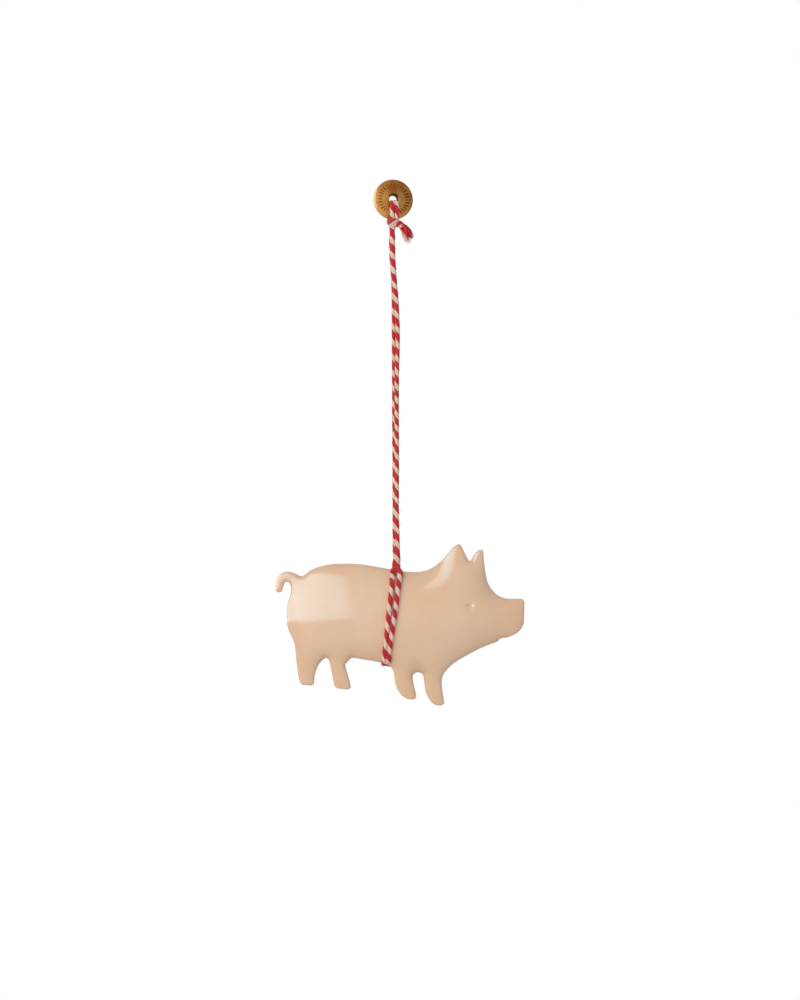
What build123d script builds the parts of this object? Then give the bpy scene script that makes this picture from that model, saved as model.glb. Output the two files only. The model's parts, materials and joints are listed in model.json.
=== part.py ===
from build123d import *
import math
import os

# Hanging pig ornament, in millimetres. The origin is the centre of the disc's hole, +X points to the
# snout, +Z up and -Y to the viewer. The pig hangs as it does in use, a little nose down.

# Brass disc
disc_diameter = 12.0
disc_thickness = 1.6
hole_diameter = 2.8
disc_bevel = 0.35
disc_yaw = 15.0  # degrees that the disc hangs turned about the vertical

# Twine
twine_diameter = 1.7
squeeze_share = 0.4  # of the hole's width, which each of the two strands in it takes at most
strand_gap = 0.45  # between neighbouring turns of twine
eye_gap = 0.1  # between the two strands in the hole
twine_clearance = 0.15  # between the twine and what it lies on
swing_clearance = 0.3  # between the knot and the strands that bend below it
turn_clearance = 0.1  # between the strands and the hitch that turns below them
turn_ease = 0.2  # that a turn's bends stand further out, because their arcs pass inside them
knot_height = 2.7
knot_round = 0.9

# Pig
pig_length = 75.0
pig_height = 48.4
tail_reach = 35.5  # from the twine's line back to the end of the tail
feet_drop = 152.3  # from the disc's centre down to the lowest foot
half_depth = 5.6  # of the trunk's own lobe in one half shell, a little less than where two lobes meet
edge_depth = 1.5  # of one half shell at the feet and ears
shell_wall = 0.6
rim_round = 0.6
rim_limit_share = 0.7  # of the tightest outside corner, which the rim's rounding takes at most
eye_diameter = 3.2
eye_sink = 0.35
overrun = 1.0  # that every cut runs past its face

# Twine places on the hanging pig
hitch_x = 0.9  # middle of the two turns on the back
hitch_lean = 3.7  # that the turns lean towards the tail from back to belly
hitch_neck = 4.6  # height of the standing strands above the back, up to where the pig turns
bar_setback = 1.2  # of the bight bar in front of the seam
standing_y = 2.1  # middle of the two standing strands behind the seam
standing_spread = 2.0  # between the standing strands, from side to side
standing_depth = 2.1  # between the standing strands, from front to back
top_spread = 1.0  # between the strands under the knot, from side to side
tail_route = [(1.2, -0.2, -7.6), (3.0, -0.8, -8.8), (5.4, -1.0, -12.9)]  # the twine's free end

# Corners of the pig's outline, clockwise from the tail tip: shares of its length and height, and the
# share of the shorter run beside the corner that its rounding takes
outline_shares = [
    (0.002, 0.702, 0.48),  # tail
    (0.000, 0.775, 0.48),
    (0.023, 0.828, 0.48),
    (0.066, 0.835, 0.48),
    (0.106, 0.798, 0.35),  # back
    (0.146, 0.848, 0.48),
    (0.216, 0.880, 0.48),
    (0.329, 0.884, 0.48),
    (0.522, 0.831, 0.48),
    (0.601, 0.831, 0.48),
    (0.657, 0.881, 0.48),
    (0.713, 0.983, 0.48),  # ears
    (0.741, 1.012, 0.42),
    (0.769, 0.923, 0.35),
    (0.781, 0.891, 0.45),
    (0.804, 0.955, 0.45),
    (0.834, 0.980, 0.48),
    (0.839, 0.882, 0.48),
    (0.853, 0.748, 0.48),  # brow and snout
    (0.903, 0.665, 0.48),
    (1.001, 0.663, 0.16),
    (0.999, 0.499, 0.48),
    (0.973, 0.448, 0.48),
    (0.933, 0.421, 0.48),
    (0.905, 0.417, 0.40),  # mouth and chest
    (0.894, 0.397, 0.40),
    (0.824, 0.357, 0.48),
    (0.715, 0.263, 0.48),
    (0.668, 0.184, 0.48),  # fore legs
    (0.670, 0.101, 0.48),
    (0.681, -0.001, 0.36),
    (0.635, 0.000, 0.45),
    (0.604, 0.067, 0.48),
    (0.592, 0.208, 0.48),
    (0.549, 0.200, 0.48),
    (0.555, 0.136, 0.48),
    (0.571, 0.034, 0.38),
    (0.518, 0.040, 0.45),
    (0.485, 0.105, 0.48),
    (0.470, 0.248, 0.40),
    (0.398, 0.274, 0.48),  # belly
    (0.307, 0.296, 0.22),
    (0.280, 0.253, 0.25),  # hind legs
    (0.295, 0.173, 0.48),
    (0.307, 0.095, 0.36),
    (0.238, 0.107, 0.27),
    (0.227, 0.200, 0.48),
    (0.212, 0.309, 0.45),
    (0.175, 0.261, 0.48),
    (0.157, 0.185, 0.48),
    (0.156, 0.122, 0.36),
    (0.099, 0.128, 0.30),
    (0.085, 0.254, 0.48),  # rump
    (0.078, 0.391, 0.48),
    (0.046, 0.484, 0.48),
    (0.046, 0.627, 0.48),
    (0.065, 0.709, 0.48),
    (0.059, 0.764, 0.48),
    (0.037, 0.769, 0.48),
    (0.026, 0.702, 0.48),
]
# Trunk, chest and head swell as three soft lobes: centre and reach as shares of the length and height,
# and height as a share of the trunk's
lobe_shares = [
    (0.35, 0.59, 0.31, 0.29, 1.00),
    (0.62, 0.55, 0.22, 0.28, 0.95),
    (0.83, 0.57, 0.15, 0.20, 0.75),
]
lobe_fullness = 3  # power by which a lobe falls off, so that its top is broad
lobe_blend = 3  # power by which the lobes add, so that the higher one counts most
eye_shares = (0.784, 0.616)  # the eye's place on the outline
back_share = 0.845  # of the height, at the back under the twine
belly_share = 0.249  # of the height, at the belly over the twine
turn_shares = (0.12, 0.3, 0.5, 0.7, 0.88)  # heights on the side at which a turn of twine bends
bend_share = 0.45  # of the shorter run beside a bend of twine that its arc takes
sharp_bend = 130.0  # degrees between its runs, under which a bend of twine goes round an edge
swell_steps = 20  # of the surface that the lobes are drawn through, each way
swell_tolerance = 0.001  # that the surface strays from the lobes at most

# Worked out from the sizes above
twine_radius = twine_diameter / 2
squeezed_diameter = min(twine_diameter, squeeze_share * hole_diameter)
eye_pitch = squeezed_diameter + eye_gap
turn_pitch = twine_diameter + strand_gap
twine_stand = twine_radius + twine_clearance  # of the twine's middle off what it lies on
edge_bend = rim_round + twine_stand  # radius of the twine's middle round the pig's rim
eye_y = disc_thickness / 2 + twine_clearance + squeezed_diameter / 2
knot_top = -(disc_diameter / 2 + swing_clearance)
knot_bottom = knot_top - knot_height
bundle_radius = math.hypot(top_spread / 2, standing_depth / 2) + twine_radius
bend_height = knot_bottom - swing_clearance - bundle_radius  # of the axis that the strands swing on
back_height = back_share * pig_height - feet_drop
belly_height = belly_share * pig_height - feet_drop
turn_height = back_height + hitch_neck  # of the plane above which the strands don't turn with the pig


def corner_turn(points, corner):
    """Runs before and after a corner, both leading away from it."""
    here = Vector(points[corner])
    return Vector(points[corner - 1]) - here, Vector(points[(corner + 1) % len(points)]) - here


def corner_radius(points, corner, share):
    """Radius whose arc takes the given share of the shorter run beside the corner."""
    before, after = corner_turn(points, corner)
    half_angle = math.radians(before.get_angle(after)) / 2
    return share * min(before.length, after.length) * math.tan(half_angle)


def bend_radius(points, corner):
    """Radius of a bend of twine, as large as its runs allow, or as the rim where it goes round that."""
    before, after = corner_turn(points, corner)
    radius = corner_radius(points, corner, bend_share)
    return min(radius, edge_bend) if before.get_angle(after) < sharp_bend else radius


def twine_tube(name, points, diameter):
    """Tube of twine along straight runs joined by tangent arcs, with its path."""
    radii = [bend_radius(points, corner) for corner in range(1, len(points) - 1)]
    path = FilletPolyline(*points, radius=radii)
    tube = sweep(Plane(path @ 0, z_dir=path % 0) * Circle(diameter / 2), path=path)
    ratio = tube.volume / (math.pi * diameter**2 / 4 * path.length)
    print(name, "length", round(path.length, 1), "volume over section times length", round(ratio, 4))
    print(name, "radii", [round(radius, 2) for radius in radii])
    return tube, path


def least_self_gap(path, diameter):
    """Least gap between stretches of one tube that lie over two diameters apart along it."""
    count = int(path.length / (diameter / 4))
    points = [path @ (step / count) for step in range(count + 1)]
    apart = int(2 * diameter / (path.length / count)) + 1
    gaps = [(points[one] - points[other]).length
            for one in range(count + 1) for other in range(one + apart, count + 1)]
    return min(gaps) - diameter


def pig_point(x_share, z_share):
    """Place on the pig's middle plane, as across and up."""
    return x_share * pig_length - tail_reach, z_share * pig_height - feet_drop


def swell_depth(x, z):
    """Depth of one half shell over a place on the middle plane."""
    total = 0
    for x_share, z_share, x_reach_share, z_reach_share, height_share in lobe_shares:
        centre = pig_point(x_share, z_share)
        across = (x - centre[0]) / (x_reach_share * pig_length)
        up = (z - centre[1]) / (z_reach_share * pig_height)
        lobe = height_share * math.exp(-(math.hypot(across, up) ** lobe_fullness))
        total += lobe**lobe_blend
    return edge_depth + (half_depth - edge_depth) * total ** (1 / lobe_blend)


def above_swell(sink):
    """Everything beyond the swelling surface, which is sunk by a wall for the hollow inside."""
    low = pig_point(0, 0)
    steps = range(-1, swell_steps + 2)
    rows = []
    for row in steps:
        z = low[1] + pig_height * row / swell_steps
        places = [low[0] + pig_length * step / swell_steps for step in steps]
        rows.append([(x, z, swell_depth(x, z) - sink) for x in places])
    surface = Face.make_surface_from_array_of_points(rows, tol=swell_tolerance, min_deg=3, max_deg=5)
    return extrude(surface, half_depth + overrun, dir=(0, 0, 1))


def pig_outline():
    """Flat outline of the pig, with the radius of its tightest outside corner."""
    points = [pig_point(x_share, z_share) for x_share, z_share, _ in outline_shares]
    radii = [corner_radius(points, corner, row[2]) for corner, row in enumerate(outline_shares)]
    outside = []
    for corner, radius in enumerate(radii):
        before, after = corner_turn(points, corner)
        if before.cross(after).Z > 0:
            outside.append(radius)
    return make_face(FilletPolyline(*points, radius=radii, close=True).edges()), min(outside)


def half_shell(outline, tightest):
    """Hollow half of the pig, lying on its rim with its outside up."""
    body = extrude(outline, half_depth + overrun) - above_swell(0)
    rim = body.faces().filter_by(GeomType.BSPLINE).sort_by(SortBy.AREA)[-1].edges()
    body = fillet(rim, min(rim_round, rim_limit_share * tightest))
    hollow = extrude(offset(outline, -shell_wall), half_depth + overrun) - above_swell(shell_wall)
    eye = pig_point(*eye_shares)
    ball = (eye_diameter**2 / 4 + eye_sink**2) / (2 * eye_sink)
    dimple = Pos(*eye, swell_depth(*eye) + ball - eye_sink) * Sphere(ball)
    return body - hollow - dimple


def disc():
    """Brass disc with its hanging hole, its four edges bevelled."""
    hole = Cylinder(hole_diameter / 2, disc_thickness + overrun)
    blank = Cylinder(disc_diameter / 2, disc_thickness) - hole
    return Rot(90, 0, 0) * chamfer(blank.edges().filter_by(GeomType.CIRCLE), disc_bevel)


def eye_strand(name, side):
    """One strand of the eye: up behind the disc, through its hole and down its face."""
    room = hole_diameter / 2 - twine_clearance - squeezed_diameter / 2
    x = side * eye_pitch / 2
    hole_z = -math.sqrt(room**2 - x**2)
    points = [(x, eye_y, knot_top), (x, eye_y, hole_z), (x, -eye_y, hole_z), (x, -eye_y, knot_top)]
    return twine_tube(name, points, squeezed_diameter)[0]


def knot():
    """Knot under the disc that holds the eye, as one rounded lump."""
    plan = Rot(0, 0, 90) * SlotOverall(2 * eye_y + squeezed_diameter, eye_pitch + squeezed_diameter)
    lump = Pos(0, 0, knot_bottom) * extrude(plan, knot_height)
    return fillet(lump.edges().group_by(Axis.Z)[0], knot_round)


def hanger_strand(side):
    """One standing strand, pulled straight by the pig, with its top rounded to swing under the knot."""
    foot = Vector(hitch_x + side * standing_spread / 2, standing_y - side * standing_depth / 2, turn_height)
    top = Vector(side * top_spread / 2, -side * standing_depth / 2, bend_height)
    run = top - foot
    rod = extrude(Plane(foot - run.normalized() * twine_diameter, z_dir=run) * Circle(twine_radius),
                  run.length + twine_diameter + 2 * bundle_radius)
    room = 4 * bundle_radius
    keep = Pos(0, 0, bend_height) * Box(room, room, room, align=(Align.CENTER, Align.CENTER, Align.MIN))
    keep -= Pos(0, 0, bend_height) * Sphere(bundle_radius)
    below = Pos(foot.X, foot.Y, turn_height + turn_clearance)
    below *= Box(room, room, room, align=(Align.CENTER, Align.CENTER, Align.MAX))
    return rod - keep - below


def turn_points(side):
    """One turn of the hitch, from the bight bar down the near side, under the belly and up again."""
    top_x = hitch_x + side * turn_pitch / 2
    height = back_height - belly_height
    near = []
    far = []
    for share in (0, *turn_shares, 1):
        x = top_x - hitch_lean * share
        z = back_height - height * share
        y = swell_depth(x, z) + twine_stand + turn_ease
        if share == 0:
            z += twine_stand
        if share == 1:
            z -= twine_stand
        near.append((x, -y, z))
        far.append((x, y, z))
    bar = (top_x, -bar_setback, back_height + twine_stand)
    standing = (hitch_x + side * standing_spread / 2, standing_y - side * standing_depth / 2)
    neck = [(*standing, turn_height - twine_diameter), (*standing, turn_height)]
    return [bar, *near, *reversed(far), *neck]


def hitch():
    """Both turns of the hitch and the bight bar between them, as one unbroken tube."""
    points = [*reversed(turn_points(-1)), *turn_points(1)]
    tube, path = twine_tube("belly_hitch", points, twine_diameter)
    print("belly_hitch least gap to itself", round(least_self_gap(path, twine_diameter), 2))
    return tube


outline, tightest = pig_outline()
shell = half_shell(outline, tightest)
front = Plane.XZ * shell
back = mirror(front, about=Plane.XZ)
knot_lump = knot()
free_end, _ = twine_tube("twine_tail", tail_route, twine_diameter)
turned = Rot(0, 0, disc_yaw)

nodes = {
    "brass_disc": turned * disc(),
    "twine_eye_left": turned * eye_strand("twine_eye_left", -1),
    "twine_eye_right": turned * eye_strand("twine_eye_right", 1),
    "twine_knot": turned * knot_lump,
    "twine_tail": free_end - turned * knot_lump,
    "hanger_strand_left": hanger_strand(-1),
    "hanger_strand_right": hanger_strand(1),
    "belly_hitch": hitch(),
    "front_shell": front,
    "back_shell": back,
}

os.makedirs("parts", exist_ok=True)
for name, piece in nodes.items():
    export_step(piece, f"parts/{name}.step")
pig = front.solid() + back.solid()
print("swing axis height", round(bend_height, 3), "turn plane height", round(turn_height, 3))
print("middle of the shells", [round(value, 2) for value in pig.center(CenterOf.MASS)])
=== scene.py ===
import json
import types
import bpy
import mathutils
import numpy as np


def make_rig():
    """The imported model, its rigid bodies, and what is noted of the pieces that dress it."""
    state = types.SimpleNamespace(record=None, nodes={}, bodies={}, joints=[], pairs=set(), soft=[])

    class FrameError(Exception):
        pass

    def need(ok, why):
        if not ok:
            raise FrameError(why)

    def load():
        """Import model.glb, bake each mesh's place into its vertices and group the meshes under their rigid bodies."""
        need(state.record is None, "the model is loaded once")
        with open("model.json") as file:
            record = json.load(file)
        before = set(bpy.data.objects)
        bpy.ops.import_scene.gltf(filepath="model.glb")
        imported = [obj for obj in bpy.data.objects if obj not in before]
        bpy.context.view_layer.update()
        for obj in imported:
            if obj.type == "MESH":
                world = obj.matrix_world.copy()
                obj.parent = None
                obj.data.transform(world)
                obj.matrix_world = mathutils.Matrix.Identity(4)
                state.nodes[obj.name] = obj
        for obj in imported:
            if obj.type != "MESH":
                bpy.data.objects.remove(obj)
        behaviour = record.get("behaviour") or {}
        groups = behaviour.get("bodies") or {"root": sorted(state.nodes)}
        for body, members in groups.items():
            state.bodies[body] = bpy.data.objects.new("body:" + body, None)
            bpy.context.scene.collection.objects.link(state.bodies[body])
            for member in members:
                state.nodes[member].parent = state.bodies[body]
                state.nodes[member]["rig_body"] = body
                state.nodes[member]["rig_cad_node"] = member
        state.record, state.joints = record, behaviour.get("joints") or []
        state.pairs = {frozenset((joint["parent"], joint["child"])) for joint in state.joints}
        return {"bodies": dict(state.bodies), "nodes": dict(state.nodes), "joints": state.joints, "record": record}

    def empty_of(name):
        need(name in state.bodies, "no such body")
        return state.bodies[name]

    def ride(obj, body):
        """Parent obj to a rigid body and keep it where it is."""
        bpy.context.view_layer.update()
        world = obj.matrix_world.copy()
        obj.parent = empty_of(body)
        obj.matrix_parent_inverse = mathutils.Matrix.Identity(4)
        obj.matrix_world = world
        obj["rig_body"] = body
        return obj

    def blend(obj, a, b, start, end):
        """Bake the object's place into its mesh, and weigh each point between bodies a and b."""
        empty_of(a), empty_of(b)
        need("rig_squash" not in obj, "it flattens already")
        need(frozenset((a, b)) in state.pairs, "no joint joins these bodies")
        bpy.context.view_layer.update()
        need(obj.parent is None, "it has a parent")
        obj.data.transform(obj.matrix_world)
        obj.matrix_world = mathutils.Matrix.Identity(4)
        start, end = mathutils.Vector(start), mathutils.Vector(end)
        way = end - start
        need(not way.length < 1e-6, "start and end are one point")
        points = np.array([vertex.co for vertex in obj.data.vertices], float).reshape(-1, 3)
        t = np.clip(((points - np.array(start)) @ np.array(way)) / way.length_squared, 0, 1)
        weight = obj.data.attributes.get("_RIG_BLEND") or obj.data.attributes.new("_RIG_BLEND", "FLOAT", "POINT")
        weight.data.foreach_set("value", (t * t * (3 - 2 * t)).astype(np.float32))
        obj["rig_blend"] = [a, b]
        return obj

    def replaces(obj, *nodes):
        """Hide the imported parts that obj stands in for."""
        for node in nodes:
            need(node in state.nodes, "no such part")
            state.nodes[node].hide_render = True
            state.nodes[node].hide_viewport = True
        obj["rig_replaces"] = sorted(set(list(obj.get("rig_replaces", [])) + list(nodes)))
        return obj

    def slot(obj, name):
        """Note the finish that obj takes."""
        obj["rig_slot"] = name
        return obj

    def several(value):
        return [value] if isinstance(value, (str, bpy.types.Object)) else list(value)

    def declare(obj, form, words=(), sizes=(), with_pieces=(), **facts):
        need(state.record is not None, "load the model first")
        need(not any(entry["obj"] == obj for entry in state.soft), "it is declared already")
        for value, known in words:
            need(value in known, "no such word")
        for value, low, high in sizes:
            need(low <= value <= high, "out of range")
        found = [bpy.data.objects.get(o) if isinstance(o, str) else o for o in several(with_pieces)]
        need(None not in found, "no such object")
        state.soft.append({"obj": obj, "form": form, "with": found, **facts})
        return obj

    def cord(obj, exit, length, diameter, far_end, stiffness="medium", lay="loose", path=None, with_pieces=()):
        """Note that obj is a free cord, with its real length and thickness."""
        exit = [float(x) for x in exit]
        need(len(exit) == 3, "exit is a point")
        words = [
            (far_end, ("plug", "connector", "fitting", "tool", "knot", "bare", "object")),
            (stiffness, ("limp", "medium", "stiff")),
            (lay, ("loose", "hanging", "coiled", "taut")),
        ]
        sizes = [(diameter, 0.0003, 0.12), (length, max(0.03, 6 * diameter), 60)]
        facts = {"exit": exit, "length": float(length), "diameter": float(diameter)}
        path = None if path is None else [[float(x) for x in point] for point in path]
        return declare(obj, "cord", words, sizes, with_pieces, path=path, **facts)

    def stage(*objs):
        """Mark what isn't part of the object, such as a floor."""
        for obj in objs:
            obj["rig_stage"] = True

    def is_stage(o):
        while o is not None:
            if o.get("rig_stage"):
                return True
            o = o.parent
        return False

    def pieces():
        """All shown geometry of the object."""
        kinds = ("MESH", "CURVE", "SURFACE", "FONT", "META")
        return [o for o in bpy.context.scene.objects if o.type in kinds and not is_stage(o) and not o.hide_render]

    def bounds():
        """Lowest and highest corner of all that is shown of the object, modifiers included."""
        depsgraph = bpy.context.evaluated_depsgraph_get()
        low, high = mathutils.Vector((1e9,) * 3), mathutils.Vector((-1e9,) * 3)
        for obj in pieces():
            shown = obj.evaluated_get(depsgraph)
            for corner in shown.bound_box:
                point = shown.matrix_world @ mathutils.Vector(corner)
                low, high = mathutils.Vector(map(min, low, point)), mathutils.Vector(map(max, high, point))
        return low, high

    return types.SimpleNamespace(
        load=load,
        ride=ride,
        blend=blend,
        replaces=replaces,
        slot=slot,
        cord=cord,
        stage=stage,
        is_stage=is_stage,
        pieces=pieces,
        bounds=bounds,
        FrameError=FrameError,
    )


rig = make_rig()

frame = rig.load()
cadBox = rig.bounds()

import bmesh
import bpy
import json
import math
import random
import numpy as np
from mathutils import Matrix, Vector, geometry
from mathutils.bvhtree import BVHTree
from mathutils.kdtree import KDTree

mm = 0.001
scene = bpy.context.scene
bpy.ops.object.select_all(action="DESELECT")
print("frame loaded:", ", ".join(sorted(frame["nodes"])))


# Small helpers
def addMesh(name, points, faces, edges=()):
    mesh = bpy.data.meshes.new(name)
    mesh.from_pydata([tuple(point) for point in points], edges, faces)
    piece = bpy.data.objects.new(name, mesh)
    scene.collection.objects.link(piece)
    return piece


def pick(piece):
    bpy.ops.object.select_all(action="DESELECT")
    piece.select_set(True)
    bpy.context.view_layer.objects.active = piece


def applyAll(piece):
    pick(piece)
    for modifier in list(piece.modifiers):
        bpy.ops.object.modifier_apply(modifier=modifier.name)


def smooth(piece, degrees):
    pick(piece)
    bpy.ops.object.shade_smooth_by_angle(angle=math.radians(degrees))


def newMaterial(name):
    material = bpy.data.materials.new(name)
    material.use_nodes = True
    return material, material.node_tree, material.node_tree.nodes["Principled BSDF"]


def addNode(tree, kind, settings=None, **inputs):
    node = tree.nodes.new(kind)
    for key, value in (settings or {}).items():
        setattr(node, key, value)
    for key, value in inputs.items():
        plug(tree, value, node.inputs[key.replace("_", " ")])
    return node


def plug(tree, value, socket):
    if isinstance(value, bpy.types.NodeSocket):
        tree.links.new(value, socket)
    else:
        socket.default_value = value


def mathNode(tree, operation, *values, clamp=False):
    node = tree.nodes.new("ShaderNodeMath")
    node.operation = operation
    node.use_clamp = clamp
    for value, socket in zip(values, node.inputs):
        plug(tree, value, socket)
    return node.outputs[0]


def mixColour(tree, factor, first, second):
    node = tree.nodes.new("ShaderNodeMix")
    node.data_type = "RGBA"
    for value, socket in ((factor, 0), (first, 6), (second, 7)):  # its colour sockets
        plug(tree, value, node.inputs[socket])
    return node.outputs[2]


def ramp(tree, value, low, high):
    node = tree.nodes.new("ShaderNodeMapRange")
    node.clamp = True
    for socket, number in zip(list(node.inputs)[:3], (value, low, high)):
        plug(tree, number, socket)
    return node.outputs[0]


def noise(tree, place, scale, detail):
    return addNode(tree, "ShaderNodeTexNoise", Vector=place, Scale=scale, Detail=detail).outputs["Fac"]


def attribute(tree, name):
    return addNode(tree, "ShaderNodeAttribute", {"attribute_name": name}).outputs["Fac"]


def addBump(tree, shader, height, strength, distance):
    bump = addNode(tree, "ShaderNodeBump", Strength=strength, Distance=distance * mm, Height=height)
    plug(tree, bump.outputs[0], shader.inputs["Normal"])


def setInputs(shader, values):
    for name, value in values.items():
        shader.inputs[name].default_value = value


# Camera as the photograph's, level and square to the pig
cameraSet = {
    "pixelsPerMm": 3.32,
    "frameHigh": 1000,  # pixels
    "holePixel": (393.2, 199.7),  # the disc's hole
    "middlePixel": (400, 500),
    "distance": 0.6,
    "filmHigh": 36.0,
    "clipStart": 0.01,
}


def makeCamera(s):
    across = (s["middlePixel"][0] - s["holePixel"][0]) / s["pixelsPerMm"] * mm
    up = (s["holePixel"][1] - s["middlePixel"][1]) / s["pixelsPerMm"] * mm
    frameHigh = s["frameHigh"] / s["pixelsPerMm"] * mm
    bpy.ops.object.camera_add(location=(across, -s["distance"], up), rotation=(math.radians(90), 0, 0))
    camera = bpy.context.object
    camera.name = "photoCamera"
    camera.data.sensor_fit = "VERTICAL"
    camera.data.sensor_height = s["filmHigh"]
    camera.data.lens = s["filmHigh"] * s["distance"] / frameHigh
    camera.data.clip_start = s["clipStart"]
    scene.camera = camera
    print("camera lens", round(camera.data.lens, 1))


makeCamera(cameraSet)


# Lacquered pig, two half shells
pigSet = {
    "depth": 5.8,  # of one half where it is deepest, mm
    "rimDepth": 0.75,  # of one half beside its rim
    "rimRound": 0.35,
    "rimRings": 5,
    "shelf": (0.12,),  # further rings inside the rounding
    "shoulder": 0.45,  # that the surface rises close to the rim
    "shoulderReach": 0.4,
    "lip": 0.1,  # depth at which the rim turns in to the seam
    "groove": 0.1,  # that the seam lies inside the rim
    "swell": 8.0,  # how far in from the rim the surface still rises
    "ringStep": 0.22,
    "fineStep": 0.2,  # of the points near the rim
    "fineBand": 1.3,
    "gridStep": 0.45,  # and of those further in
    "wall": 0.45,
    "eye": (23.2, -122.0),  # across and up
    "eyeWide": 0.9,
    "eyeDeep": 0.5,
    "shine": (0.45, 0.0, 0.8),  # from the eye's middle, and how wide: where the lacquer pools
    "shade": (-1.35, 0.0, 0.45),  # and where shade is painted on the dimple's left flank
    "passes": 500,
    "settled": 1e-18,  # what is left over when the swelling is done
    "seamReach": 0.002,  # within which a point of the solid lies on the seam
    "relax": (0.5, -0.53) * 8,  # takes kinks out of the coarse outline and undoes the shrinking
    "turnPasses": 4,  # that even out the rim's inward directions
    "clearShare": 0.7,  # of the fine step, between the last ring and the points inside it
    "gridBlocks": 40,  # that the points are tested in
    "weld": 1e-6,
    "smoothDegrees": 40,
}


def rimLoop(node, near):
    # outer edge of the shell on the seam plane, in order
    work = bmesh.new()
    work.from_mesh(frame["nodes"][node].data)
    bmesh.ops.remove_doubles(work, verts=work.verts, dist=near)
    nextTo = {}
    for edge in work.edges:
        if max(abs(vert.co.y) for vert in edge.verts) > near:
            continue
        flat = [max(abs(vert.co.y) for vert in face.verts) < near for face in edge.link_faces]
        if sorted(flat) == [False, True]:
            for one, other in (edge.verts, reversed(edge.verts)):
                nextTo.setdefault(one.index, []).append(other.index)
    places = {vert.index: (vert.co.x / mm, vert.co.z / mm) for vert in work.verts}
    work.free()
    loops = []
    left = set(nextTo)
    while left:
        start = here = min(left)
        loop = []
        while here in left:
            left.discard(here)
            loop.append(places[here])
            onward = [step for step in nextTo[here] if step in left]
            if onward:
                here = onward[0]
        loops.append(loop)
    return np.array(max(loops, key=len))


def turnsLeft(loop):
    after = np.roll(loop, -1, 0)
    return (loop[:, 0] * after[:, 1] - after[:, 0] * loop[:, 1]).sum() > 0


def evenLoop(loop, step, relax):
    closed = np.vstack([loop, loop[:1]])
    along = np.concatenate([[0], np.cumsum(np.linalg.norm(np.diff(closed, axis=0), axis=1))])
    at = np.linspace(0, along[-1], int(along[-1] / step), endpoint=False)
    even = np.stack([np.interp(at, along, closed[:, axis]) for axis in (0, 1)], 1)
    for amount in relax:
        even = even + amount * ((np.roll(even, 1, 0) + np.roll(even, -1, 0)) / 2 - even)
    return even


def inwardOf(loop, passes):
    along = np.roll(loop, -1, 0) - np.roll(loop, 1, 0)
    inward = np.stack([-along[:, 1], along[:, 0]], 1)
    for _ in range(passes):
        inward = (np.roll(inward, 1, 0) + 2 * inward + np.roll(inward, -1, 0)) / 4
    return inward / np.linalg.norm(inward, axis=1)[:, None]


def gridInside(loop, step, nearest, furthest):
    # staggered grid of points inside the loop, between two distances from it
    rim = KDTree(len(loop))
    for number, (x, z) in enumerate(loop):
        rim.insert((x, 0, z), number)
    rim.balance()
    low, high = loop.min(0), loop.max(0)
    points = []
    for row, z in enumerate(np.arange(low[1], high[1], step * math.sqrt(3) / 2)):
        for x in np.arange(low[0] + (row % 2) * step / 2, high[0], step):
            if nearest < rim.find((x, 0, z))[2] < furthest:
                points.append((x, z))
    after = np.roll(loop, -1, 0)
    run = after - loop
    climb = np.where(run[:, 1] == 0, 1, run[:, 1])
    kept = []
    for block in np.array_split(np.array(points), pigSet["gridBlocks"]):
        x, z = block[:, :1], block[:, 1:]
        spans = (loop[:, 1] > z) != (after[:, 1] > z)
        cross = spans & (x < loop[:, 0] + (z - loop[:, 1]) / climb * run[:, 0])
        kept.append(block[cross.sum(1) % 2 == 1])
    return np.concatenate(kept)


def puff(points, triangles, held, reach, s):
    # rises from 0 at the held points towards 1, over about the reach
    one, two, three = (points[triangles[:, corner]] for corner in range(3))
    rows, weights = [], []
    area = np.zeros(len(points))
    cross = lambda a, b: a[:, 0] * b[:, 1] - a[:, 1] * b[:, 0]
    size = np.abs(cross(two - one, three - one))
    for corner in range(3):
        np.add.at(area, triangles[:, corner], size / 6)
        here, ahead, behind = ([one, two, three][(corner + turn) % 3] for turn in range(3))
        weights.append(((ahead - here) * (behind - here)).sum(1) / size / 2)
        rows.append(triangles[:, [(corner + 1) % 3, (corner + 2) % 3]])
    rows, weights = np.concatenate(rows), np.concatenate(weights)
    ends = np.concatenate([rows[:, 0], rows[:, 1]])
    others = np.concatenate([rows[:, 1], rows[:, 0]])
    both = np.concatenate([weights, weights])
    pull = area / reach**2
    total = np.bincount(ends, both, len(points)) + pull
    free = np.ones(len(points))
    free[held] = 0
    rise = np.zeros(len(points))
    left = pull * free
    step = left.copy()
    rest = left @ left
    for _ in range(s["passes"]):
        pushed = (total * step - np.bincount(ends, both * step[others], len(points))) * free
        share = rest / (step @ pushed)
        rise += share * step
        left -= share * pushed
        rest, before = left @ left, rest
        if rest < s["settled"]:
            break
        step = left + rest / before * step
    return rise / rise.max()


def spotOn(flat, eye, spot):
    # 1 in the spot's middle and 0 well outside it
    across, up, wide = spot
    away = np.hypot(flat[:, 0] - eye[0] - across, flat[:, 1] - eye[1] - up) / wide
    return np.exp(-away**2)


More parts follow.
